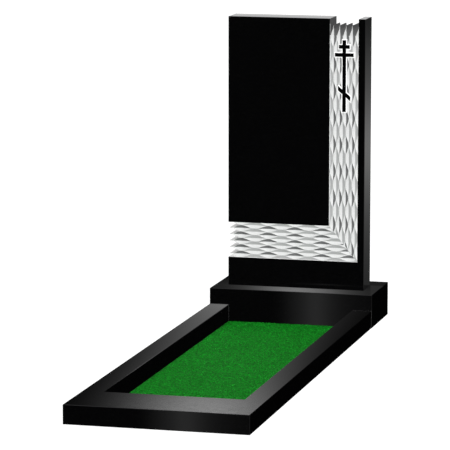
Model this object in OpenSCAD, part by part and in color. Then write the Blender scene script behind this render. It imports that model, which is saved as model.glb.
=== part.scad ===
// Grave memorial set: a carved stele on a plinth, with three kerbs around a turfed bed.
// Millimetres. +Z is up, +Y points from the foot of the bed to the back of the plinth,
// and the origin is the middle of the ground under the whole set.

/* [Stele] */
// Width of the stele
stele_w = 514; // [480:1:560]
// Height of the stele above the plinth
stele_h = 1000; // [900:10:1200]
// Thickness of the stele
stele_t = 110; // [80:1:130]
// Width of the polished text panel, from the left edge
panel_w = 382; // [360:1:390]
// Height of the polished strip under the carved band
foot_strip_h = 105; // [80:1:130]
// Height of the level run of the carved band
level_band_h = 131; // [125:1:135]
// Width of the polished strip at the right edge
edge_strip_w = 25; // [20:1:35]
// Depth of the open notch at the top of the upright run, down to the spike tips
notch_d = 23.5; // [21:0.5:30]

/* [Carving] */
// Spacing of the deep grooves in the upright run
pitch_upright = 23.45; // [22:0.05:24]
// Spacing of the deep grooves in the level run
pitch_level = 24.1; // [23:0.05:25]
// Length of one swell of the grooves in the upright run
swell_upright = 98.3; // [90:0.1:110]
// Length of one swell of the grooves in the level run
swell_level = 102.2; // [90:0.1:110]
// Wall angle of the deep grooves
deep_angle = 33; // [25:1:50]
// Wall angle of the shallow grooves between them
shallow_angle = 21; // [10:1:30]
// How far the crests lie under the polished face
crest_depth = 3; // [1:0.5:8]
// Width of the gap at which a bay between two spikes ends
bay_gap = 4; // [2:0.1:5]

/* [Cross] */
// Height of the raised cross
cross_h = 263; // [220:1:300]
// Width of its bars
cross_bar = 13.7; // [10:0.1:18]
// Length of the long cross bar
cross_arm = 70; // [55:1:80]
// Distance from the top of the stele to the top of the cross
cross_drop = 77.5; // [60:0.5:120]
// Flat margin round the cross
cross_margin = 3.5; // [2:0.5:6]

/* [Plinth] */
// Width of the plinth
plinth_w = 612; // [580:1:700]
// Depth of the plinth, front to back
plinth_d = 290; // [240:1:340]
// Height of the plinth
plinth_h = 122; // [90:1:180]
// Distance from the front of the plinth to the front of the stele
setback = 85; // [40:1:100]

/* [Kerbs] */
// Length of the kerbed bed in front of the plinth
bed_l = 1800; // [1200:10:1900]
// Width over the kerbs
bed_w = 610; // [560:1:612]
// Width of a side kerb
side_kerb_w = 72; // [50:1:90]
// Depth of the foot kerb
foot_kerb_d = 215; // [80:1:240]
// Height of the kerbs
kerb_h = 64; // [50:1:90]
// Polished arris on every block
arris = 2.5; // [1:0.5:4]

/* [Turf] */
// Thickness of the turf mat
turf_t = 3; // [2:0.5:20]
// Gap between the mat and the stone
turf_gap = 1; // [0.5:0.5:5]

/* [Hidden] */

total_l = plinth_d + bed_l;
y_back = total_l / 2;              // back of the plinth
y_plinth = y_back - plinth_d;      // front of the plinth
y_face = y_plinth + setback;       // polished face of the stele
y_foot = -total_l / 2;             // front of the foot kerb

band_x0 = -stele_w / 2 + panel_w;          // inner edge of the upright run
band_x1 = stele_w / 2 - edge_strip_w;      // outer edge of the upright run
band_z0 = foot_strip_h;                    // lower edge of the level run
band_z1 = foot_strip_h + level_band_h;     // upper edge of the level run

seg = 6;                                   // facets along one swell
land = 0.35;                               // half width of the flat on a crest
swell0_upright = 69.5;                     // first widest point under the top of the stele
swell0_level = 49.6;                       // first widest point from the left edge
u0_upright = band_x1 - 5 * pitch_upright;  // deep groove floors are at u0 + k * pitch
u0_level = 118.4 - 5 * pitch_level;        // the same, measured down from the level run's top
end_level = 2.2;                           // where the spikes end at the left edge

granite = [0.10, 0.10, 0.105];
grass = [0.10, 0.42, 0.12];

// A block with its arrises taken off: three extruded octagons meet in it.
module octagon(a, b, c) {
    polygon([[c, 0], [a - c, 0], [a, c], [a, b - c], [a - c, b], [c, b], [0, b - c], [0, c]]);
}
module block(w, d, h, c) {
    intersection() {
        linear_extrude(h) octagon(w, d, c);
        translate([0, d, 0]) rotate([90, 0, 0]) linear_extrude(d) octagon(w, h, c);
        rotate([90, 0, 90]) linear_extrude(w) octagon(d, h, c);
    }
}

// Grooves. u runs across the band and v along it, from its free end. Deep groove floors are
// straight and one pitch apart. The crests beside them swell out and in, and shallow grooves
// fill the spindles between, so floors are straight lines and crests are waves.
function swing(t) = lookup(abs(t - round(t)), [[0, 1], [1 / 6, 0.66], [1 / 3, 0.12], [1 / 2, 0]]);
function reach(v, v0, len, p) = land + (p / 2 - 2 * land) * swing((v - v0) / len);
function cell(v, v0, len, p) =
    let (a = reach(v, v0, len, p))
    [[0, tan(deep_angle) * a], [a, 0], [p / 2, tan(shallow_angle) * (p / 2 - a)], [p - a, 0]];
function profile(n, v, v0, len, p) = concat(
    [for (k = [0:n - 1]) for (c = cell(v, v0, len, p)) [k * p + c[0], c[1]]],
    [[n * p, tan(deep_angle) * reach(v, v0, len, p)]]);

// What the carver takes away over n pitches: x across the grooves, y into the stone from the
// crests, z along them. rows are the stations along z, and front reaches out of the stone.
module groove_cutter(n, rows, v0, len, p, front) {
    m = 4 * n + 1;
    r = len(rows);
    surface = [for (v = rows) for (c = profile(n, v, v0, len, p)) [c[0], c[1], v]];
    face = [for (v = rows) for (c = profile(n, v, v0, len, p)) [c[0], -front, v]];
    q = m * r;
    polyhedron(
        points = concat(surface, face),
        faces = concat(
            [for (j = [0:r - 2]) for (i = [0:m - 2]) [j * m + i, j * m + i + 1, (j + 1) * m + i + 1]],
            [for (j = [0:r - 2]) for (i = [0:m - 2]) [j * m + i, (j + 1) * m + i + 1, (j + 1) * m + i]],
            [for (j = [0:r - 2]) for (i = [0:m - 2]) [q + j * m + i, q + (j + 1) * m + i + 1, q + j * m + i + 1]],
            [for (j = [0:r - 2]) for (i = [0:m - 2]) [q + j * m + i, q + (j + 1) * m + i, q + (j + 1) * m + i + 1]],
            [for (i = [0:m - 2]) [i, q + i, q + i + 1, i + 1]],
            [for (i = [0:m - 2]) let (e = (r - 1) * m) [e + i, e + i + 1, q + e + i + 1, q + e + i]],
            [for (j = [0:r - 2]) [j * m, (j + 1) * m, q + (j + 1) * m, q + j * m]],
            [for (j = [0:r - 2]) let (e = m - 1) [j * m + e, q + j * m + e, q + (j + 1) * m + e, (j + 1) * m + e]]
        ),
        convexity = 10);
}

// The free end of a run in outline: pointed spikes stand at the deep grooves, and between them
// bays follow the crests inwards until they close. u is x and v is y; the bays go right through.
function bay_end(v0, len, p) = v0 - len / 6 * (1 - ((p - bay_gap) / 2 - land) / (p / 2 - 2 * land)) / 0.34;
module bay(u, v_tip, v0, len, p) {
    steps = [v_tip, v0 - len / 3, v0 - len / 6, bay_end(v0, len, p)];
    polygon(concat(
        [[u + reach(v_tip, v0, len, p), v_tip - 3]],
        [for (v = steps) [u + reach(v, v0, len, p), v]],
        [for (i = [3:-1:0]) [u + p - reach(steps[i], v0, len, p), steps[i]]],
        [[u + p - reach(v_tip, v0, len, p), v_tip - 3]]));
}
module end_outline(n, u0, v_tip, v0, len, p) {
    translate([u0 - 1, -15]) square([n * p + 2, v_tip + 15]);
    for (k = [0:n - 1]) bay(u0 + k * p, v_tip, v0, len, p);
}

// Outline of the cross, grown by g on every side.
module cross_outline(g) {
    half = cross_bar / 2 + g;
    translate([-half, -cross_h - g]) square([2 * half, cross_h + 2 * g]);
    translate([-0.585 * cross_arm / 2 - g, -31.2 - g]) square([0.585 * cross_arm + 2 * g, cross_bar + 2 * g]);
    translate([-cross_arm / 2 - g, -61 - g]) square([cross_arm + 2 * g, cross_bar + 2 * g]);
    s = 0.67 * cross_arm / 2;
    t = 40.2 / (2 * s);
    polygon([[-s - g, -166.2 + t * g + 1.4 * g], [s + g, -206.4 - t * g + 1.4 * g],
        [s + g, -223.9 - t * g - 1.4 * g], [-s - g, -183.7 + t * g - 1.4 * g]]);
}

module upright_region() {
    polygon([[band_x0, band_z1], [band_x1, band_z0], [band_x1, stele_h + 10], [band_x0, stele_h + 10]]);
}
module level_region() {
    polygon([[-stele_w / 2 - 10, band_z0], [band_x1, band_z0], [band_x0, band_z1], [-stele_w / 2 - 10, band_z1]]);
}
// Stations along a run: the bay part in even steps, then a steady count for each swell.
function stations(v_tip, v0, len, total) =
    let (n = ceil((total - v0) / len * seg) + 1)
    concat([for (i = [0:2]) v_tip - 2 + (v0 - len / 2 + len / seg - v_tip + 2) * i / 2 ],
        [for (j = [2 - seg / 2:n]) v0 + j * len / seg]);

module stele() {
    front = crest_depth + 2;
    cross_x = (band_x0 + band_x1) / 2 + 0.5;
    color(granite) translate([0, y_face, plinth_h]) difference() {
        translate([-stele_w / 2, 0, 0]) block(stele_w, stele_t, stele_h, 1.5);
        // upright run, with the cross and its margin left standing
        difference() {
            intersection() {
                translate([u0_upright, crest_depth, stele_h]) mirror([0, 0, 1])
                    groove_cutter(5, stations(notch_d, swell0_upright, swell_upright, stele_h - band_z0),
                        swell0_upright, swell_upright, pitch_upright, front);
                translate([0, 40, 0]) rotate([90, 0, 0]) linear_extrude(60) upright_region();
            }
            translate([cross_x, 45, stele_h - cross_drop]) rotate([90, 0, 0])
                linear_extrude(70) cross_outline(cross_margin);
        }
        // flat margin round the cross
        translate([cross_x, crest_depth, stele_h - cross_drop]) rotate([90, 0, 0])
            linear_extrude(front) difference() {
                cross_outline(cross_margin);
                cross_outline(0);
            }
        // level run
        intersection() {
            translate([-stele_w / 2, crest_depth, band_z1 - u0_level])
                mirror([0, 0, 1]) rotate([0, -90, 0]) mirror([0, 0, 1])
                groove_cutter(6, stations(end_level, swell0_level, swell_level, stele_w),
                    swell0_level, swell_level, pitch_level, front);
            translate([0, 40, 0]) rotate([90, 0, 0]) linear_extrude(60) level_region();
        }
        // free end of the upright run, an open notch with spikes along its floor
        translate([0, stele_t + 1, 0]) rotate([90, 0, 0]) linear_extrude(stele_t + 2) intersection() {
            translate([0, stele_h]) mirror([0, 1])
                end_outline(5, u0_upright, notch_d, swell0_upright, swell_upright, pitch_upright);
            translate([band_x0, stele_h - 70]) square([band_x1 - band_x0, 90]);
        }
        // free end of the level run
        translate([0, stele_t + 1, 0]) rotate([90, 0, 0]) linear_extrude(stele_t + 2) intersection() {
            translate([-stele_w / 2, band_z1]) rotate(-90)
                end_outline(6, u0_level, end_level, swell0_level, swell_level, pitch_level);
            translate([-stele_w / 2 - 20, band_z0]) square([80, level_band_h]);
        }
    }
}

module plinth() {
    color(granite) translate([-plinth_w / 2, y_plinth, 0]) block(plinth_w, plinth_d, plinth_h, arris);
}

module side_kerb() {
    block(side_kerb_w, bed_l - foot_kerb_d, kerb_h, arris);
}
module kerb_left() {
    color(granite) translate([-bed_w / 2, y_foot + foot_kerb_d, 0]) side_kerb();
}
module kerb_right() {
    color(granite) translate([bed_w / 2 - side_kerb_w, y_foot + foot_kerb_d, 0]) side_kerb();
}
module kerb_front() {
    color(granite) translate([-bed_w / 2, y_foot, 0]) block(bed_w, foot_kerb_d, kerb_h, arris);
}

module turf_mat() {
    w = bed_w - 2 * side_kerb_w - 2 * turf_gap;
    l = bed_l - foot_kerb_d - 2 * turf_gap;
    color(grass) translate([-w / 2, y_foot + foot_kerb_d + turf_gap, 0]) cube([w, l, turf_t]);
}

stele();
plinth();
kerb_left();
kerb_right();
kerb_front();
turf_mat();
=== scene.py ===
import math

import bmesh
import bpy
import numpy as np
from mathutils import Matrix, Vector


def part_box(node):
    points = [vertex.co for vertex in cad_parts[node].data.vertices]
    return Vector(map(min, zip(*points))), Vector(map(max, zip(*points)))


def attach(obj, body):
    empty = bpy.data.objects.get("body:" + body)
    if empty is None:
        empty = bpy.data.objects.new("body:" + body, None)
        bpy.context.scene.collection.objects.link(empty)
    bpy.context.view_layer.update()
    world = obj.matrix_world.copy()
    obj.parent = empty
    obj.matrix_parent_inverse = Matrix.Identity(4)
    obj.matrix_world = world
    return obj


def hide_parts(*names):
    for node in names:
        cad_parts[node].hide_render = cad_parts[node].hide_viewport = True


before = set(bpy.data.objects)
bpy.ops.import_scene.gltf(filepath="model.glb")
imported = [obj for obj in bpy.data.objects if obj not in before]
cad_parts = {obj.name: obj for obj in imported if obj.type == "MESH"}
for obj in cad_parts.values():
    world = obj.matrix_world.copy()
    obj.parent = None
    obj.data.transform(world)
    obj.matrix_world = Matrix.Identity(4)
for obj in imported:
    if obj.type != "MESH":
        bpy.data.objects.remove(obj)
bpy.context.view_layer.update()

SEED = 20713
rng = np.random.default_rng(SEED)
scene = bpy.context.scene
scene.view_settings.view_transform = "Standard"
scene.view_settings.look = "None"
scene.view_settings.exposure = 0.0
scene.view_settings.gamma = 1.0

# ---------------------------------------------------------------- camera
YAW, PITCH = math.radians(14.718), math.radians(-9.141)
cam_data = bpy.data.cameras.new("view")
cam_data.sensor_width = 36.0
cam_data.lens = 253.165
cam_data.clip_start, cam_data.clip_end = 0.1, 300.0
cam = bpy.data.objects.new("view", cam_data)
cam.location = (2.6727, -10.3617, 2.2091)
cam.rotation_euler = (math.radians(90) + PITCH, 0.0, YAW)
scene.collection.objects.link(cam)
scene.camera = cam


# ---------------------------------------------------------------- node helpers
def new_material(name):
    mat = bpy.data.materials.new(name)
    mat.use_nodes = True
    nt = mat.node_tree
    nt.nodes.clear()
    out = nt.nodes.new("ShaderNodeOutputMaterial")
    bsdf = nt.nodes.new("ShaderNodeBsdfPrincipled")
    nt.links.new(bsdf.outputs[0], out.inputs[0])
    return mat, nt, bsdf


def node(nt, kind, inputs=None, **props):
    n = nt.nodes.new(kind)
    for k, v in props.items():
        setattr(n, k, v)
    for k, v in (inputs or {}).items():
        if hasattr(v, "links") or isinstance(v, bpy.types.NodeSocket):
            nt.links.new(v, n.inputs[k])
        else:
            n.inputs[k].default_value = v
    return n


def ramp(nt, fac, stops, interpolation="LINEAR"):
    n = nt.nodes.new("ShaderNodeValToRGB")
    n.color_ramp.interpolation = interpolation
    e = n.color_ramp.elements
    while len(e) < len(stops):
        e.new(0.5)
    for el, (pos, col) in zip(e, stops):
        el.position = pos
        el.color = (*col, 1.0) if len(col) == 3 else col
    nt.links.new(fac, n.inputs[0])
    return n


def noise(nt, vec, scale, detail=3.0, rough=0.55, dist=0.0):
    n = node(nt, "ShaderNodeTexNoise", {"Vector": vec, "Scale": scale, "Detail": detail,
                                       "Roughness": rough, "Distortion": dist})
    return n.outputs["Fac"]


def maprange(nt, val, a, b, c, d):
    n = node(nt, "ShaderNodeMapRange", {0: val, 1: a, 2: b, 3: c, 4: d})
    return n.outputs[0]


def maths(nt, op, a, b=None):
    n = nt.nodes.new("ShaderNodeMath")
    n.operation = op
    for i, v in enumerate((a, b)):
        if v is None:
            continue
        if isinstance(v, bpy.types.NodeSocket):
            nt.links.new(v, n.inputs[i])
        else:
            n.inputs[i].default_value = v
    return n.outputs[0]


def mix(nt, fac, a, b, blend="MIX"):
    n = nt.nodes.new("ShaderNodeMix")
    n.data_type = "RGBA"
    n.blend_type = blend
    for key, v in ((0, fac), (6, a), (7, b)):
        if isinstance(v, bpy.types.NodeSocket):
            nt.links.new(v, n.inputs[key])
        else:
            n.inputs[key].default_value = v if key == 0 else (*v, 1.0)
    return n.outputs[2]


# ---------------------------------------------------------------- materials
def polished_granite(name, rough_lo, rough_hi, joint_y=None):
    """Black gabbro: near-black crystals 0.5 to 2 mm across, a few lighter flecks, polished."""
    mat, nt, bsdf = new_material(name)
    vec = node(nt, "ShaderNodeTexCoord").outputs["Object"]
    crystals = node(nt, "ShaderNodeTexVoronoi", {"Vector": vec, "Scale": 620.0, "Randomness": 1.0})
    grain = ramp(nt, crystals.outputs["Color"], [(0.0, (0.0004, 0.0004, 0.0005)), (0.55, (0.0010, 0.0010, 0.0011)),
                                                (0.86, (0.0026, 0.0026, 0.0028)), (1.0, (0.009, 0.0093, 0.0099))])
    cloud = noise(nt, vec, 9.0, 4.0, 0.6)
    tone = mix(nt, maprange(nt, cloud, 0.35, 0.65, 0.0, 0.35), grain.outputs[0], (0.0016, 0.0016, 0.0017))
    flecks = node(nt, "ShaderNodeTexVoronoi", {"Vector": vec, "Scale": 210.0, "Randomness": 1.0})
    fleck = ramp(nt, flecks.outputs["Distance"], [(0.0, (1, 1, 1)), (0.07, (0, 0, 0)), (1.0, (0, 0, 0))])
    colour = mix(nt, maths(nt, "MULTIPLY", fleck.outputs[0], 0.6), tone, (0.014, 0.0147, 0.0157))
    if joint_y is not None:
        # a grey hairline along the far end, where the kerb meets the plinth
        y = node(nt, "ShaderNodeSeparateXYZ", {0: vec}).outputs[1]
        edge = maths(nt, "ADD", y, maprange(nt, cloud, 0.3, 0.7, -0.0002, 0.0002))
        colour = mix(nt, maprange(nt, edge, joint_y - 0.0018, joint_y - 0.0014, 0.0, 1.0), colour, (0.17, 0.171, 0.172))
    nt.links.new(colour, bsdf.inputs["Base Color"])
    wear = noise(nt, vec, 34.0, 5.0, 0.62)
    fine = noise(nt, vec, 900.0, 2.0, 0.5)
    r = maprange(nt, wear, 0.3, 0.7, rough_lo, rough_hi)
    r = maths(nt, "ADD", r, maprange(nt, fine, 0.35, 0.65, -0.012, 0.012))
    nt.links.new(r, bsdf.inputs["Roughness"])
    bump = node(nt, "ShaderNodeBump", {"Height": maths(nt, "ADD", maths(nt, "MULTIPLY", fine, 0.4), wear),
                                       "Strength": 0.025, "Distance": 0.0006})
    nt.links.new(bump.outputs[0], bsdf.inputs["Normal"])
    bsdf.inputs["IOR"].default_value = 1.58
    return mat


def dressed_stone(name, light, dark, fleck_share):
    """The same stone with its polish broken: a pale, matt, finely bruised surface."""
    mat, nt, bsdf = new_material(name)
    vec = node(nt, "ShaderNodeTexCoord").outputs["Object"]
    bruise = noise(nt, vec, 420.0, 6.0, 0.7)
    broad = noise(nt, vec, 26.0, 4.0, 0.6, 0.4)
    base = mix(nt, maprange(nt, bruise, 0.34, 0.66, 0.0, 1.0), dark, light)
    base = mix(nt, maprange(nt, broad, 0.35, 0.7, 0.0, 0.22), base, tuple(0.86 * c for c in light))
    crystals = node(nt, "ShaderNodeTexVoronoi", {"Vector": vec, "Scale": 520.0, "Randomness": 1.0})
    specks = ramp(nt, crystals.outputs["Color"], [(0.0, (0, 0, 0)), (0.80, (0, 0, 0)), (0.92, (1, 1, 1)), (1.0, (1, 1, 1))])
    base = mix(nt, maths(nt, "MULTIPLY", specks.outputs[0], fleck_share), base, tuple(0.45 * c for c in dark))
    nt.links.new(base, bsdf.inputs["Base Color"])
    nt.links.new(maprange(nt, bruise, 0.3, 0.7, 0.78, 0.95), bsdf.inputs["Roughness"])
    bump = node(nt, "ShaderNodeBump", {"Height": bruise, "Strength": 0.35, "Distance": 0.0005})
    nt.links.new(bump.outputs[0], bsdf.inputs["Normal"])
    bsdf.inputs["IOR"].default_value = 1.45
    bsdf.inputs["Specular IOR Level"].default_value = 0.2
    return mat


def honed_stone(name):
    """The stone as the wheel leaves it: dark grey and matt, with dust from the carving low in the bays."""
    mat, nt, bsdf = new_material(name)
    vec = node(nt, "ShaderNodeTexCoord").outputs["Object"]
    z = node(nt, "ShaderNodeSeparateXYZ", {0: vec}).outputs[2]
    lines = noise(nt, node(nt, "ShaderNodeMapping", {"Vector": vec, "Scale": (900.0, 60.0, 900.0)}).outputs[0], 1.0, 3.0, 0.6)
    cloud = noise(nt, vec, 60.0, 4.0, 0.6)
    base = mix(nt, maprange(nt, lines, 0.3, 0.7, 0.0, 1.0), (0.068, 0.0685, 0.070), (0.108, 0.1095, 0.111))
    base = mix(nt, maprange(nt, cloud, 0.35, 0.7, 0.0, 0.35), base, (0.061, 0.0615, 0.063))
    dust = maths(nt, "ADD", maprange(nt, z, 1.088, 1.062, 0.0, 0.9), maprange(nt, cloud, 0.3, 0.7, -0.08, 0.08))
    base = mix(nt, dust, base, (0.160, 0.161, 0.160))
    nt.links.new(base, bsdf.inputs["Base Color"])
    nt.links.new(maprange(nt, cloud, 0.3, 0.7, 0.62, 0.78), bsdf.inputs["Roughness"])
    bump = node(nt, "ShaderNodeBump", {"Height": lines, "Strength": 0.2, "Distance": 0.0003})
    nt.links.new(bump.outputs[0], bsdf.inputs["Normal"])
    bsdf.inputs["Specular IOR Level"].default_value = 0.25
    return mat


def turf_material(name, blades):
    mat, nt, bsdf = new_material(name)
    vec = node(nt, "ShaderNodeTexCoord").outputs["Object"]
    clump = noise(nt, vec, 95.0, 3.0, 0.6)
    fine = noise(nt, vec, 520.0, 2.0, 0.5)
    broad = noise(nt, vec, 7.0, 3.0, 0.5)
    if blades:
        base = ramp(nt, fine, [(0.30, (0.0024, 0.122, 0.0062)), (0.45, (0.0042, 0.192, 0.0098)),
                               (0.58, (0.0085, 0.256, 0.0175)), (0.74, (0.042, 0.400, 0.052))]).outputs[0]
    else:
        base = ramp(nt, fine, [(0.3, (0.0026, 0.088, 0.0048)), (0.55, (0.0042, 0.146, 0.0086)),
                               (0.75, (0.0090, 0.210, 0.0135))]).outputs[0]
    tuft = maths(nt, "ADD", maprange(nt, noise(nt, vec, 150.0, 2.0, 0.6), 0.32, 0.68, 0.44, 1.64), maprange(nt, clump, 0.35, 0.65, -0.10, 0.10))
    tuft = maths(nt, "MULTIPLY", tuft, maprange(nt, broad, 0.35, 0.65, 0.96, 1.05))
    base = mix(nt, 1.0, base, node(nt, "ShaderNodeCombineColor", {0: tuft, 1: tuft, 2: tuft}).outputs[0], "MULTIPLY")
    nt.links.new(base, bsdf.inputs["Base Color"])
    nt.links.new(maprange(nt, fine, 0.3, 0.7, 0.55, 0.8), bsdf.inputs["Roughness"])
    bump = node(nt, "ShaderNodeBump", {"Height": fine, "Strength": 0.4, "Distance": 0.001})
    nt.links.new(bump.outputs[0], bsdf.inputs["Normal"])
    bsdf.inputs["Specular IOR Level"].default_value = 0.08
    return mat


granite = polished_granite("granite_polished", 0.09, 0.13)
jointed = polished_granite("granite_jointed", 0.09, 0.13, float(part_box("plinth")[0].y))
sawn = honed_stone("granite_honed")
carved = dressed_stone("granite_dressed", (0.67, 0.675, 0.67), (0.55, 0.555, 0.555), 0.16)
# painted shade: the next two are darker copies of the dressed stone for faces turned away from the key light
carved_painted_half_shade = dressed_stone("granite_dressed_painted_half_shade", (0.50, 0.505, 0.505), (0.395, 0.40, 0.402), 0.16)
carved_painted_shade = dressed_stone("granite_dressed_painted_shade", (0.220, 0.223, 0.225), (0.158, 0.160, 0.162), 0.10)
# the pale stone is a frosted finish for the margin round the cross, and also painted light on some faces at the left
# end
pale = dressed_stone("granite_frosted_and_painted_light", (0.90, 0.90, 0.895), (0.78, 0.78, 0.78), 0.08)
turf_base = turf_material("turf_backing", False)
turf_blade = turf_material("turf_blades", True)


def assign(obj, mats):
    obj.data.materials.clear()
    for m in mats:
        obj.data.materials.append(m)


def mesh_object(name, verts, faces):
    me = bpy.data.meshes.new(name)
    me.from_pydata([tuple(v) for v in verts], [], faces)
    me.update()
    ob = bpy.data.objects.new(name, me)
    scene.collection.objects.link(ob)
    return ob


# ---------------------------------------------------------------- the carved stele
# Sizes, in metres, come from the CAD node's box; the carving repeats its rules.
lo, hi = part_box("stele")
W, T, H = hi.x - lo.x, hi.y - lo.y, hi.z - lo.z
X0, Y0, Z0 = (lo.x + hi.x) / 2, lo.y, lo.z
mm = 0.001
band_x0, band_x1 = X0 - W / 2 + 382 * mm, X0 + W / 2 - 25 * mm
band_z0, band_z1 = Z0 + 105 * mm, Z0 + 236 * mm
CREST, LAND = 3.0 * mm, 0.35 * mm
TA, TB = math.tan(math.radians(33)), math.tan(math.radians(21))
NOTCH, END = 23.5 * mm, 2.2 * mm
UP = dict(p=23.45 * mm, q=98.3 * mm, v0=69.5 * mm, n=5)
UP["u0"] = band_x1 - 5 * UP["p"]
LV = dict(p=24.1 * mm, q=102.2 * mm, v0=49.6 * mm, n=6)
LV["u0"] = 118.4 * mm - 5 * LV["p"]


# how far a crest swings out along one swell: full at 0, nothing at half a swell
SWING_T = np.linspace(-0.75, 0.75, 1201)
_raw = np.interp(np.abs(SWING_T - np.round(SWING_T)), [0, 1 / 12, 1 / 6, 1 / 4, 1 / 3, 5 / 12, 1 / 2],
                 [1.0, 0.89, 0.66, 0.43, 0.12, 0.035, 0.0])
_kernel = np.hanning(61)
SWING = np.convolve(_raw, _kernel / _kernel.sum(), "same")
SWING = (SWING - SWING[1000]) / (SWING[600] - SWING[1000])


def reach(v, g):
    t = (v - g["v0"]) / g["q"]
    return LAND + (g["p"] / 2 - 2 * LAND) * np.clip(np.interp(t - np.round(t), SWING_T, SWING), 0, 1)


def value_noise(x, y, scale, seed):
    """Smooth noise in about -1..1 on a plane, the same for every run."""
    r = np.random.default_rng(seed)
    grid = r.uniform(-1, 1, (256, 256))
    fx, fy = x / scale + 40.0, y / scale + 40.0
    ix, iy = np.floor(fx).astype(int), np.floor(fy).astype(int)
    tx, ty = fx - ix, fy - iy
    tx, ty = tx * tx * (3 - 2 * tx), ty * ty * (3 - 2 * ty)
    g = lambda a, b: grid[a % 256, b % 256]
    return ((g(ix, iy) * (1 - tx) + g(ix + 1, iy) * tx) * (1 - ty)
            + (g(ix, iy + 1) * (1 - tx) + g(ix + 1, iy + 1) * tx) * ty)


def groove_surface(g, v_first, v_last, seed, step=3.0 * mm):
    """Rows along v of points (u, depth under the crests), with the carver's small unevenness."""
    rows = np.arange(v_first, v_last + step, step)
    share_a = np.linspace(0, 1, 5)[:-1]      # floor to crest of a deep groove
    share_b = np.linspace(0, 1, 4)           # crest to floor of a shallow groove
    grid = []
    for v in rows:
        a = reach(v, g)
        p = g["p"]
        da, db = TA * a, TB * (p / 2 - a)
        line = []
        for k in range(g["n"]):
            # one crest wanders a little from the next, as a hand-guided tool does
            w1 = 0.25 * mm * value_noise(np.array([k * 3.1]), np.array([v / 0.020]), 1.0, seed + 7)[0]
            w2 = 0.25 * mm * value_noise(np.array([k * 3.1 + 1.7]), np.array([v / 0.020]), 1.0, seed + 9)[0]
            tip = min(1.0, a / (2.5 * mm))
            ar, al = a + w1 * tip, a + w2 * tip
            mid = p / 2
            gap = (p - ar - al)
            if gap < 4 * LAND * 0.5:
                ar, al = a, a
            for s in share_a:
                line.append((k * p + ar * s, TA * ar * (1 - s)))
            for s in share_b[:-1]:
                line.append((k * p + ar + (mid - ar) * s, db * s))
            for s in share_b[:-1]:
                line.append((k * p + mid + (p - al - mid) * s, db * (1 - s)))
            for s in share_a:
                line.append((k * p + p - al + al * s, TA * al * s))
        line.append((g["n"] * g["p"], da))
        grid.append(line)
    grid = np.array(grid)
    u, d = grid[:, :, 0], grid[:, :, 1]
    v = np.repeat(rows[:, None], u.shape[1], 1)
    d = d + 0.10 * mm * value_noise(u, v, 2.6 * mm, seed) + 0.09 * mm * value_noise(u, v * 0.5, 5.5 * mm, seed + 1) \
        + 0.05 * mm * value_noise(u, v, 1.3 * mm, seed + 2)
    return u, v, d


def closed_cutter(name, front, back):
    """A closed solid between two grids of points of the same shape."""
    r, c, _ = front.shape
    verts = np.concatenate([front.reshape(-1, 3), back.reshape(-1, 3)])
    i = np.arange(r * c).reshape(r, c)
    o = r * c
    quads = []
    a, b, cc, dd = i[:-1, :-1].ravel(), i[:-1, 1:].ravel(), i[1:, 1:].ravel(), i[1:, :-1].ravel()
    quads += list(zip(a, b, cc, dd))
    quads += list(zip(dd + o, cc + o, b + o, a + o))
    for k in range(c - 1):
        quads.append((i[0, k + 1], i[0, k], i[0, k] + o, i[0, k + 1] + o))
        quads.append((i[-1, k], i[-1, k + 1], i[-1, k + 1] + o, i[-1, k] + o))
    for k in range(r - 1):
        quads.append((i[k, 0], i[k + 1, 0], i[k + 1, 0] + o, i[k, 0] + o))
        quads.append((i[k + 1, -1], i[k, -1], i[k, -1] + o, i[k + 1, -1] + o))
    ob = mesh_object(name, verts, [tuple(map(int, q)) for q in quads])
    bm = bmesh.new()
    bm.from_mesh(ob.data)
    bmesh.ops.recalc_face_normals(bm, faces=bm.faces)
    bmesh.ops.triangulate(bm, faces=bm.faces)
    bm.to_mesh(ob.data)
    bm.free()
    return ob


def prism(name, outline_xz, y_near, y_far):
    """An outline in x and z, carried straight from y_near to y_far."""
    n = len(outline_xz)
    verts = [(x, y_near, z) for x, z in outline_xz] + [(x, y_far, z) for x, z in outline_xz]
    faces = [tuple(range(n)), tuple(range(2 * n - 1, n - 1, -1))]
    faces += [(i, (i + 1) % n, n + (i + 1) % n, n + i) for i in range(n)]
    ob = mesh_object(name, verts, faces)
    bm = bmesh.new()
    bm.from_mesh(ob.data)
    bmesh.ops.recalc_face_normals(bm, faces=bm.faces)
    bmesh.ops.triangulate(bm, faces=bm.faces)
    bm.to_mesh(ob.data)
    bm.free()
    return ob


def boolean(target, other, operation):
    m = target.modifiers.new("b", "BOOLEAN")
    m.operation = operation
    m.solver = "MANIFOLD"
    m.object = other
    deps = bpy.context.evaluated_depsgraph_get()
    me = bpy.data.meshes.new_from_object(target.evaluated_get(deps))
    target.modifiers.clear()
    old = target.data
    target.data = me
    bpy.data.meshes.remove(old)
    bpy.data.objects.remove(other)
    return target


def bevelled_box(name, lo, hi, width, segments, edge_kept=None):
    x0, y0, z0 = lo
    x1, y1, z1 = hi
    verts = [(x, y, z) for x in (x0, x1) for y in (y0, y1) for z in (z0, z1)]
    faces = [(0, 1, 3, 2), (4, 6, 7, 5), (0, 4, 5, 1), (2, 3, 7, 6), (0, 2, 6, 4), (1, 5, 7, 3)]
    ob = mesh_object(name, verts, faces)
    bm = bmesh.new()
    bm.from_mesh(ob.data)
    bmesh.ops.recalc_face_normals(bm, faces=bm.faces)
    if width:
        edges = [e for e in bm.edges if edge_kept is None or edge_kept([v.co for v in e.verts])]
        bmesh.ops.bevel(bm, geom=edges, offset=width, segments=segments, affect="EDGES", profile=0.5)
    bm.to_mesh(ob.data)
    bm.free()
    return ob


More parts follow.
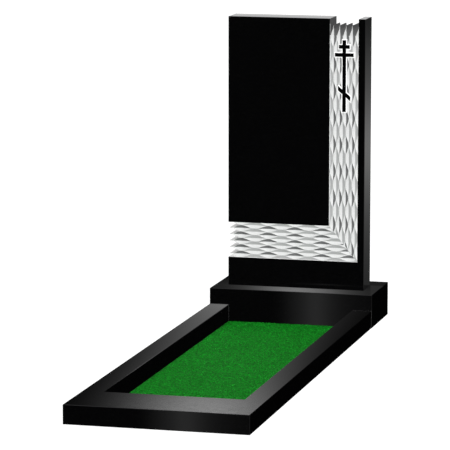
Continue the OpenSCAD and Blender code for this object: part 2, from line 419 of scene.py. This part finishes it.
def cross_parts(grow):
    """The raised cross's outline as convex pieces in x and z, grown by grow on every side."""
    cx, top = (band_x0 + band_x1) / 2 + 0.5 * mm, Z0 + H - 77.5 * mm
    bar, arm, h = 13.7 * mm, 70 * mm, 263 * mm
    half = bar / 2 + grow

    def rect(xa, xb, za, zb):
        return [(cx + xa, top + za), (cx + xb, top + za), (cx + xb, top + zb), (cx + xa, top + zb)]
    s = 0.67 * arm / 2
    t = 40.2 * mm / (2 * s)
    g = grow
    return [
        rect(-half, half, -h - g, g),
        rect(-0.585 * arm / 2 - g, 0.585 * arm / 2 + g, -31.2 * mm - g, -31.2 * mm + bar + g),
        rect(-arm / 2 - g, arm / 2 + g, -61 * mm - g, -61 * mm + bar + g),
        [(cx - s - g, top - 166.2 * mm + t * g + 1.4 * g), (cx + s + g, top - 206.4 * mm - t * g + 1.4 * g),
         (cx + s + g, top - 223.9 * mm - t * g - 1.4 * g), (cx - s - g, top - 183.7 * mm + t * g - 1.4 * g)],
    ]


def bay_outline(u, tip, g):
    close = 4.0 * mm
    look = np.linspace(g["v0"] - g["q"] / 3, g["v0"], 600)
    v1 = look[np.argmax(g["p"] - 2 * reach(look, g) < close)]
    vs = np.linspace(tip, v1, 22)
    r = reach(vs, g)
    pts = [(u + r[0], tip - 3 * mm)] + [(u + a, v) for a, v in zip(r, vs)]
    # the bay closes in a small round end
    mid, half = u + g["p"] / 2, g["p"] / 2 - r[-1]
    pts += [(mid - half * math.cos(t), vs[-1] + half * math.sin(t)) for t in np.linspace(0, math.pi, 9)[1:-1]]
    pts += [(u + g["p"] - a, v) for a, v in zip(r[::-1], vs[::-1])] + [(u + g["p"] - r[0], tip - 3 * mm)]
    return pts


def make_stele():
    face_y = Y0
    stone = bevelled_box("stele_carved", lo, hi, 1.5 * mm, 3, lambda ends: max(p.z for p in ends) > Z0 + mm)
    # upright run
    u, v, d = groove_surface(UP, NOTCH - 4 * mm, H - 105 * mm + 3 * mm, 11)
    front = np.stack([UP["u0"] + u, face_y + CREST + d, Z0 + H - v], 2)
    back = front.copy()
    back[:, :, 1] = face_y - 5 * mm
    cut = closed_cutter("cut_up", front, back)
    region = prism("reg_up", [(band_x0, band_z1), (band_x1, band_z0), (band_x1, Z0 + H + 0.01), (band_x0, Z0 + H + 0.01)],
                   face_y - 0.02, face_y + 0.04)
    boolean(cut, region, "INTERSECT")
    for i, part in enumerate(cross_parts(3.5 * mm)):
        boolean(cut, prism(f"rim{i}", part, face_y - 0.03, face_y + 0.05), "DIFFERENCE")
    boolean(stone, cut, "DIFFERENCE")
    # level run
    u, v, d = groove_surface(LV, END - 4 * mm, W, 23)
    front = np.stack([X0 - W / 2 + v, face_y + CREST + d, band_z1 - LV["u0"] - u], 2)
    back = front.copy()
    back[:, :, 1] = face_y - 5 * mm
    cut = closed_cutter("cut_lv", front, back)
    region = prism("reg_lv", [(X0 - W / 2 - 0.01, band_z0), (band_x1, band_z0), (band_x0, band_z1), (X0 - W / 2 - 0.01, band_z1)],
                   face_y - 0.02, face_y + 0.04)
    boolean(cut, region, "INTERSECT")
    boolean(stone, cut, "DIFFERENCE")
    # flat margin round the cross
    rim = None
    for i, part in enumerate(cross_parts(3.5 * mm)):
        one = prism(f"m{i}", part, face_y - 0.006, face_y + CREST)
        rim = one if rim is None else boolean(rim, one, "UNION")
    for i, part in enumerate(cross_parts(0.0)):
        boolean(rim, prism(f"c{i}", part, face_y - 0.02, face_y + 0.02), "DIFFERENCE")
    boolean(stone, rim, "DIFFERENCE")
    # free end of the upright run
    near, far = face_y - 0.01, face_y + T + 0.01
    top = Z0 + H
    ends = prism("notch", [(band_x0, top + 0.01), (band_x0, top - NOTCH), (band_x1, top - NOTCH), (band_x1, top + 0.01)], near, far)
    for k in range(UP["n"]):
        pts = [(UP["u0"] + uu, top - vv) for uu, vv in bay_outline(k * UP["p"], NOTCH, UP)]
        ends = boolean(ends, prism(f"bay{k}", pts, near, far), "UNION")
    keep = prism("keep", [(band_x0, top - 0.08), (band_x1, top - 0.08), (band_x1, top + 0.02), (band_x0, top + 0.02)], near - 0.01, far + 0.01)
    boolean(ends, keep, "INTERSECT")
    boolean(stone, ends, "DIFFERENCE")
    # free end of the level run
    left = X0 - W / 2
    ends = prism("endcut", [(left - 0.01, band_z0), (left + END, band_z0), (left + END, band_z1), (left - 0.01, band_z1)], near, far)
    for k in range(LV["n"]):
        pts = [(left + vv, band_z1 - LV["u0"] - uu) for uu, vv in bay_outline(k * LV["p"], END, LV)]
        ends = boolean(ends, prism(f"bay{k}", pts, near, far), "UNION")
    keep = prism("keep", [(left - 0.02, band_z0), (left + 0.08, band_z0), (left + 0.08, band_z1), (left - 0.02, band_z1)], near - 0.01, far + 0.01)
    boolean(ends, keep, "INTERSECT")
    boolean(stone, ends, "DIFFERENCE")
    return stone


stele = make_stele()
assign(stele, [granite, carved, pale, sawn, carved_painted_half_shade, carved_painted_shade])


def in_cross(x, z, grow):
    hit = np.zeros(len(x), bool)
    for part in cross_parts(grow):
        inside = np.ones(len(x), bool)
        area = sum(part[i][0] * part[(i + 1) % 4][1] - part[(i + 1) % 4][0] * part[i][1] for i in range(4))
        for i in range(4):
            (ax, az), (bx, bz) = part[i], part[(i + 1) % 4]
            s = (bx - ax) * (z - az) - (bz - az) * (x - ax)
            inside &= (s * np.sign(area) >= -1e-7)
        hit |= inside
    return hit


def finish_stele(ob):
    me = ob.data
    bm = bmesh.new()
    bm.from_mesh(me)
    bmesh.ops.remove_doubles(bm, verts=bm.verts, dist=1e-6)
    bmesh.ops.dissolve_degenerate(bm, dist=1e-6, edges=bm.edges)
    bmesh.ops.recalc_face_normals(bm, faces=bm.faces)
    bm.to_mesh(me)
    bm.free()
    n = len(me.polygons)
    c = np.zeros(n * 3); me.polygons.foreach_get("center", c); c = c.reshape(-1, 3)
    nn = np.zeros(n * 3); me.polygons.foreach_get("normal", nn); nn = nn.reshape(-1, 3)
    in_band = (((c[:, 0] > band_x0 - 1e-5) & (c[:, 0] < band_x1 + 1e-5) & (c[:, 2] > band_z0 - 1e-5))
               | ((c[:, 0] < band_x1 + 1e-5) & (c[:, 2] > band_z0 - 1e-5) & (c[:, 2] < band_z1 + 1e-5)))
    depth = c[:, 1] - Y0
    slot = np.zeros(n, int)
    groove = in_band & (depth > 0.0002) & (depth < 0.022) & (nn[:, 1] < -0.3)
    slot[groove] = 1
    wall = in_band & (depth > 0.0002) & (depth < 0.022) & (nn[:, 1] >= -0.3) & (nn[:, 1] < 0.3)
    free_end = ((c[:, 2] > Z0 + H - 0.068) & (c[:, 0] > band_x0 - 1e-4)) | (c[:, 0] < X0 - W / 2 + 0.05)
    slot[wall & ~free_end] = 1
    # painted shade: the faces towards the left and below, turned away from the key light, get darker copies of the
    # dressed stone
    up_run = (c[:, 2] - band_z1) > -(band_z1 - band_z0) / (band_x1 - band_x0) * (c[:, 0] - band_x0)
    for run, u, v, g in ((up_run, c[:, 0] - UP["u0"], Z0 + H - c[:, 2], UP), (~up_run, band_z1 - LV["u0"] - c[:, 2], c[:, 0] - (X0 - W / 2), LV)):
        t = u / g["p"] - np.round(u / g["p"])
        t = t if g is UP else -t
        deep = np.abs(t) * g["p"] < reach(v, g)
        # at the left end the painted-shade faces start as a point some way in from the tips
        taper = 1.0 if g is UP else np.clip((v - 19 * mm) / (12 * mm), 0, 1)
        dark = (slot == 1) & run & (np.abs(t) * g["p"] < reach(v, g) * taper) & (t > 0)
        slot[dark] = 5
        if g is LV:
            # painted light: near the left-end tips the deep faces, which face down, get the pale stone
            slot[(slot == 1) & run & deep & (t > 0) & (v < 27 * mm)] = 2
        # painted half shade: the shallow faces turned from the key light get the mid copy
        slot[(slot == 1) & run & ~deep & (t < 0)] = 4
    margin = in_cross(c[:, 0], c[:, 2], 3.7 * mm) & (depth > 0.0002) & (depth < 0.0032)
    slot[margin] = 2
    through = in_band & free_end & (np.abs(nn[:, 1]) < 0.3)
    slot[through & (slot != 1)] = 3
    # painted light: the through-cut walls at the left end get the pale stone instead of the honed one
    slot[through & (c[:, 0] < X0 - W / 2 + 0.05) & (c[:, 2] < band_z1 + 0.001)] = 2
    me.polygons.foreach_set("material_index", slot)
    me.set_sharp_from_angle(angle=math.radians(24))
    # the polished faces are flat; only the carved ones are shaded smooth
    me.polygons.foreach_set("use_smooth", np.isin(slot, (1, 2, 4, 5)))
    me.update()
    print("stele", len(me.vertices), "verts", n, "faces", np.bincount(slot, minlength=4))


finish_stele(stele)
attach(stele, "root")
stele.visible_glossy = False
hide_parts("stele")

# ---------------------------------------------------------------- plinth and kerbs
def rounded(name, lo, hi):
    """Which arrises are taken off: not those on the ground, nor those shut in a joint."""
    def test(ends):
        a, b = ends
        if max(a.z, b.z) < lo.z + 1e-4:
            return False
        if name in ("kerb_left", "kerb_right"):
            return abs(a.y - b.y) > 0.1
        if name == "kerb_front":
            return not (min(a.y, b.y) > hi.y - 1e-4)
        return True
    return test


for name in ("plinth", "kerb_left", "kerb_right", "kerb_front"):
    b_lo, b_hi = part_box(name)
    block = bevelled_box(name + "_polished", b_lo, b_hi, 1.9 * mm, 3, rounded(name, b_lo, b_hi))
    assign(block, [jointed if name in ("kerb_left", "kerb_right") else granite])
    block.data.polygons.foreach_set("use_smooth", np.ones(len(block.data.polygons), bool))
    block.data.set_sharp_from_angle(angle=math.radians(40))
    wn = block.modifiers.new("normals", "WEIGHTED_NORMAL")
    wn.keep_sharp = True
    deps = bpy.context.evaluated_depsgraph_get()
    me = bpy.data.meshes.new_from_object(block.evaluated_get(deps))
    block.modifiers.clear()
    block.data = me
    block.visible_glossy = name == "plinth"
    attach(block, "root")
    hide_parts(name)


# ---------------------------------------------------------------- turf
def make_turf():
    tlo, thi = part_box("turf_mat")
    top = thi.z
    nx, ny = 108, 400
    xs, ys = np.linspace(tlo.x - 0.9 * mm, thi.x + 0.9 * mm, nx), np.linspace(tlo.y - 0.9 * mm, thi.y + 0.9 * mm, ny)
    gx, gy = np.meshgrid(xs, ys)
    z = tlo.z + 0.4 * (top - tlo.z) + 0.14 * (top - tlo.z) * value_noise(gx, gy, 9 * mm, 5) \
        + 0.10 * (top - tlo.z) * value_noise(gx, gy, 4.2 * mm, 6)
    upper = np.stack([gx, gy, z], 2)
    lower = upper.copy()
    lower[:, :, 2] = tlo.z
    base = closed_cutter("turf_backing", upper, lower)
    assign(base, [turf_base])
    base.data.polygons.foreach_set("use_smooth", np.ones(len(base.data.polygons), bool))
    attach(base, "root")
    base.visible_glossy = False
    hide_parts("turf_mat")

    pieces = 2
    count = 60000
    length = (thi.y - tlo.y) / pieces
    for part in range(pieces):
        r = np.random.default_rng(SEED + part)
        x = r.uniform(tlo.x + 1 * mm, thi.x - 1 * mm, count)
        y = r.uniform(tlo.y + part * length + 0.5 * mm, tlo.y + (part + 1) * length - 0.5 * mm, count)
        root = tlo.z + 0.15 * (top - tlo.z)
        h = (top - root) * np.clip(r.uniform(0.62, 1.0, count) + 0.08 * value_noise(x, y, 22 * mm, 31), 0.5, 1.0)
        turn = r.uniform(0, 2 * np.pi, count)
        w = r.uniform(1.6, 2.8, count) * mm
        lean = r.uniform(1.0, 5.0, count) * mm
        way = r.uniform(0, 2 * np.pi, count)
        ax, ay = np.cos(turn) * w / 2, np.sin(turn) * w / 2
        tx = np.clip(x + np.cos(way) * lean, tlo.x, thi.x)
        ty = np.clip(y + np.sin(way) * lean, tlo.y, thi.y)
        v = np.empty((count, 3, 3))
        v[:, 0] = np.stack([x - ax, y - ay, np.full(count, root)], 1)
        v[:, 1] = np.stack([x + ax, y + ay, np.full(count, root)], 1)
        v[:, 2] = np.stack([tx, ty, root + h], 1)
        me = bpy.data.meshes.new(f"turf_blades_{part + 1}")
        me.vertices.add(count * 3)
        me.vertices.foreach_set("co", v.ravel())
        me.loops.add(count * 3)
        me.loops.foreach_set("vertex_index", np.arange(count * 3))
        me.polygons.add(count)
        me.polygons.foreach_set("loop_start", np.arange(0, count * 3, 3))
        me.polygons.foreach_set("loop_total", np.full(count, 3))
        me.update(calc_edges=True)
        ob = bpy.data.objects.new(me.name, me)
        scene.collection.objects.link(ob)
        assign(ob, [turf_blade])
        ob.visible_glossy = False
        ob.visible_shadow = False
        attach(ob, "root")


make_turf()

# ---------------------------------------------------------------- floor, world and lights
floor = mesh_object("floor", [(-40, -40, -0.0005), (40, -40, -0.0005), (40, 60, -0.0005), (-40, 60, -0.0005)], [(0, 1, 2, 3)])
fmat = bpy.data.materials.new("floor")
fmat.use_nodes = True
nt = fmat.node_tree
nt.nodes.clear()
out = nt.nodes.new("ShaderNodeOutputMaterial")
add = nt.nodes.new("ShaderNodeAddShader")
em = node(nt, "ShaderNodeEmission", {"Color": (1, 1, 1, 1), "Strength": 0.72})
df = node(nt, "ShaderNodeBsdfDiffuse", {"Color": (0.5, 0.5, 0.5, 1)})
nt.links.new(em.outputs[0], add.inputs[0])
nt.links.new(df.outputs[0], add.inputs[1])
nt.links.new(add.outputs[0], out.inputs[0])
assign(floor, [fmat])
floor.visible_glossy = False
floor.visible_diffuse = False
floor.visible_shadow = False

world = bpy.data.worlds.new("studio")
scene.world = world
world.use_nodes = True
nt = world.node_tree
nt.nodes.clear()
wout = nt.nodes.new("ShaderNodeOutputWorld")
path = nt.nodes.new("ShaderNodeLightPath")
direction = node(nt, "ShaderNodeTexCoord").outputs["Generated"]
xyz = node(nt, "ShaderNodeSeparateXYZ", {0: direction})
# what diffuse surfaces see: an even grey dome above the horizon, brighter overhead
dome = ramp(nt, maprange(nt, xyz.outputs[2], -1, 1, 0, 1), [(0.49, (0, 0, 0)), (0.51, (0.10, 0.10, 0.10)), (0.86, (0.10, 0.10, 0.10)), (0.92, (0.70, 0.70, 0.70)), (1.0, (0.70, 0.70, 0.70))])
# what polished surfaces see: dark low down, brighter overhead, and soft grey walls at the two sides
up = ramp(nt, maprange(nt, xyz.outputs[2], -1, 1, 0, 1), [(0.0, (0.0, 0.0, 0.0)), (0.50, (0.0, 0.0, 0.0)),
                                                        (0.68, (0.02, 0.02, 0.02)), (0.82, (0.30, 0.30, 0.305)), (1.0, (0.60, 0.60, 0.61))])
side = maprange(nt, maths(nt, "ABSOLUTE", xyz.outputs[0]), 0.45, 0.95, 0.0, 0.42)
side = maths(nt, "MULTIPLY", side, maprange(nt, maths(nt, "ABSOLUTE", xyz.outputs[2]), 0.25, 0.55, 1.0, 0.0))
sidec = node(nt, "ShaderNodeCombineColor", {0: side, 1: side, 2: side}).outputs[0]
gloss = mix(nt, 1.0, up.outputs[0], sidec, "ADD")
lit = mix(nt, path.outputs["Is Glossy Ray"], dome.outputs[0], gloss)
seen = mix(nt, path.outputs["Is Camera Ray"], lit, (1.0, 1.0, 1.0))
bg = node(nt, "ShaderNodeBackground", {"Color": seen, "Strength": 1.0})
nt.links.new(bg.outputs[0], wout.inputs[0])


def sun(name, direction, strength, angle):
    data = bpy.data.lights.new(name, "SUN")
    data.energy = strength
    data.angle = math.radians(angle)
    data.use_shadow = False
    ob = bpy.data.objects.new(name, data)
    ob.rotation_euler = Vector(direction).to_track_quat("Z", "Y").to_euler()
    scene.collection.objects.link(ob)
    ob.visible_glossy = False
    return ob


glow = bpy.data.materials.new("softbox")
glow.use_nodes = True
nt = glow.node_tree
nt.nodes.clear()
gout = nt.nodes.new("ShaderNodeOutputMaterial")
gem = node(nt, "ShaderNodeEmission", {"Strength": node(nt, "ShaderNodeAttribute", attribute_name="radiance").outputs["Fac"]})
clear = node(nt, "ShaderNodeBsdfTransparent")
oneway = node(nt, "ShaderNodeMixShader", {0: node(nt, "ShaderNodeNewGeometry").outputs["Backfacing"], 1: gem.outputs[0], 2: clear.outputs[0]})
nt.links.new(oneway.outputs[0], gout.inputs[0])


def card(name, y, xr, zr, nx, nz, radiance, turned=False):
    """An upright softbox seen only by polished surfaces, from the front, or from behind it if turned."""
    xs, zs = np.linspace(*xr, nx), np.linspace(*zr, nz)
    gx, gz = np.meshgrid(xs, zs)
    verts = np.stack([gx, np.full_like(gx, y), gz], 2).reshape(-1, 3)
    i = np.arange(nx * nz).reshape(nz, nx)
    faces = [tuple(map(int, q)) for q in zip(i[:-1, :-1].ravel(), i[:-1, 1:].ravel(), i[1:, 1:].ravel(), i[1:, :-1].ravel())]
    ob = mesh_object(name, verts, [q[::-1] for q in faces] if turned else faces)
    at = ob.data.attributes.new("radiance", "FLOAT", "POINT")
    at.data.foreach_set("value", np.maximum(radiance(gx, gz), 0).ravel().astype(np.float32))
    assign(ob, [glow])
    ob.visible_camera = ob.visible_diffuse = ob.visible_shadow = False
    ob.visible_transmission = ob.visible_volume_scatter = False
    return ob


def smooth(t, a, b):
    t = np.clip((t - a) / (b - a), 0, 1)
    return t * t * (3 - 2 * t)


sun("key", (0.45, -0.80, 0.40), 4.35, 9.0)

def bell(t, middle, half):
    """A soft glow with long tails: 1 in the middle, a half at half away."""
    return 1 / (1 + ((t - middle) / half) ** 2)


def softbox(name, y, xr, zr, step, radiance, turned=False):
    nx, nz = int((xr[1] - xr[0]) / step) + 2, int((zr[1] - zr[0]) / step) + 2
    return card(name, y, xr, zr, nx, nz, radiance, turned)


# The softboxes stand close behind the stones they light. Each is one soft glow over its own width
# and height, in metres.
def kerbs_glow(x, z):
    return np.exp(-1.10 - 5.54 * x - 7.36 * z - 7.99 * x * z - 15.1 * x ** 2 + 13.2 * z ** 2)


def plinth_glow(x, z):
    low = 0.006 + 0.025 * np.maximum(smooth(z, 0.134, 0.146), smooth(x, -0.10, 0.20))
    return low + 0.425 * np.exp(-((x + 0.045) / 0.156) ** 2) * smooth(z, 0.152, 0.162)


def side_glow(x, z):
    return 0.40 * bell(z, 0.64, 0.215) * (1 - 0.35 * smooth(z, 0.95, 1.12))


def top_glow(x, z):
    return 0.80 + 0.18 * smooth(z, 1.1285, 1.1245)


def front_glow(x, z):
    return 0.345 * bell(x, 0.095, 0.065) * smooth(x, -0.08, 0.02)


p_lo, p_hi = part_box("plinth")
k_lo, k_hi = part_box("kerb_front")
softbox("softbox_kerbs", p_lo.y - 0.0006, (-1.05, 0.30), (k_hi.z + 0.001, 0.52), 0.011, kerbs_glow)
softbox("softbox_plinth", p_hi.y + 0.010, (-0.50, 0.33), (p_hi.z + 0.0005, 0.20), 0.004, plinth_glow)
softbox("softbox_side", hi.y + 0.008, (hi.x + 0.0005, hi.x + 0.06), (Z0 - 0.002, Z0 + H + 0.02), 0.008, side_glow)
softbox("softbox_top", hi.y + 0.012, (-0.40, 0.30), (Z0 + H + 0.0003, Z0 + H + 0.06), 0.002, top_glow)
softbox("softbox_front", p_lo.y - 0.004, (-0.33, 0.33), (0.0005, 0.1225), 0.010, front_glow, True)
softbox("softbox_foot", k_lo.y - 0.004, (-0.33, 0.33), (0.0005, 0.0635), 0.010, front_glow, True)

# a large soft wall well behind, low down, so that the polished back reads as polished
card("softbox_back", 3.0, (-2.6, 0.14), (-1.6, 0.40), 40, 24,
     lambda gx, gz: 1.9 * smooth(gz, 0.40, -0.8) * smooth(gx, 0.14, -0.34) * smooth(gx, -2.6, -1.6))
